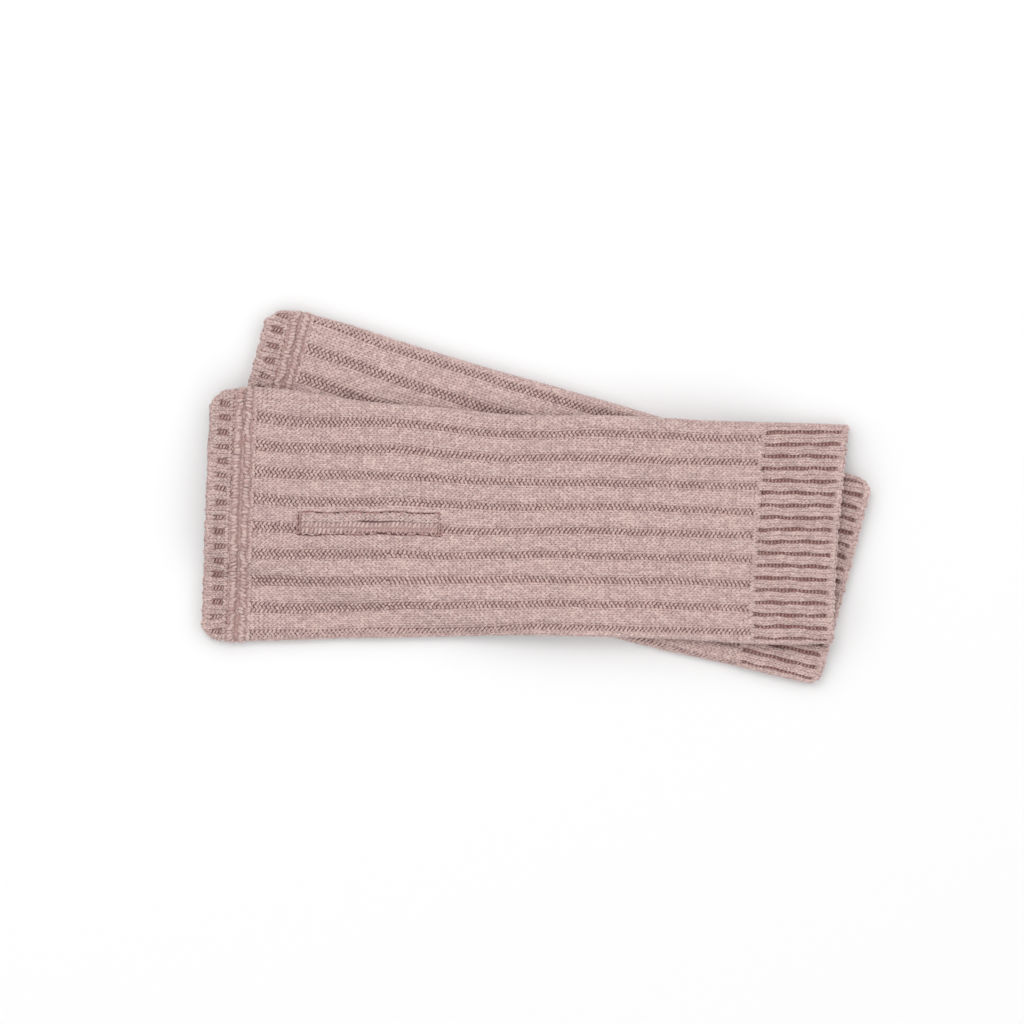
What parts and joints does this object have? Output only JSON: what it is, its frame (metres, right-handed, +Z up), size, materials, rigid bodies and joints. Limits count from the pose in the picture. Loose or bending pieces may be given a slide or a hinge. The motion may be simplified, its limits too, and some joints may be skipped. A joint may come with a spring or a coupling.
{
  "type": "pair of fingerless mittens",
  "caption": "Two flat rib-knit fingerless mittens with thumb slits and narrow-rib cuffs, laid one crossed over the other on a table.",
  "frame": {"origin": "on the surface that the pair lies on, under the middle of its bounding box", "axes": "+X from the finger ends to the wrist ends, +Y across towards the lower mitten's finger end, +Z up from the surface"},
  "size_m": [0.2626, 0.1462, 0.0119],
  "materials": {
    "trim_knit": "matt wool-blend rib knit, dusty pink, heathered",
    "linking_knit": "matt wool-blend rib knit, dusty pink, heathered",
    "hand_knit": "matt wool-blend rib knit, dusty pink, heathered",
    "welt_knit": "matt wool-blend rib knit, dusty pink, heathered",
    "cuff_knit": "matt wool-blend rib knit, dusty pink, heathered"
  },
  "bodies": {
    "root": {"upper_finger_trim_front": "trim_knit", "upper_finger_trim_back": "trim_knit", "upper_linking_front": "linking_knit", "upper_linking_back": "linking_knit", "upper_hand_front": "hand_knit", "upper_hand_back": "hand_knit", "upper_thumb_welt_far": "welt_knit", "upper_thumb_welt_near": "welt_knit", "upper_wrist_front": "cuff_knit", "upper_wrist_back": "cuff_knit", "lower_finger_trim_front": "trim_knit", "lower_finger_trim_back": "trim_knit", "lower_linking_front": "linking_knit", "lower_linking_back": "linking_knit", "lower_hand_front": "hand_knit", "lower_hand_back": "hand_knit", "lower_thumb_welt_far": "welt_knit", "lower_thumb_welt_near": "welt_knit", "lower_wrist_front": "cuff_knit", "lower_wrist_back": "cuff_knit"}
  },
  "joints": []
}
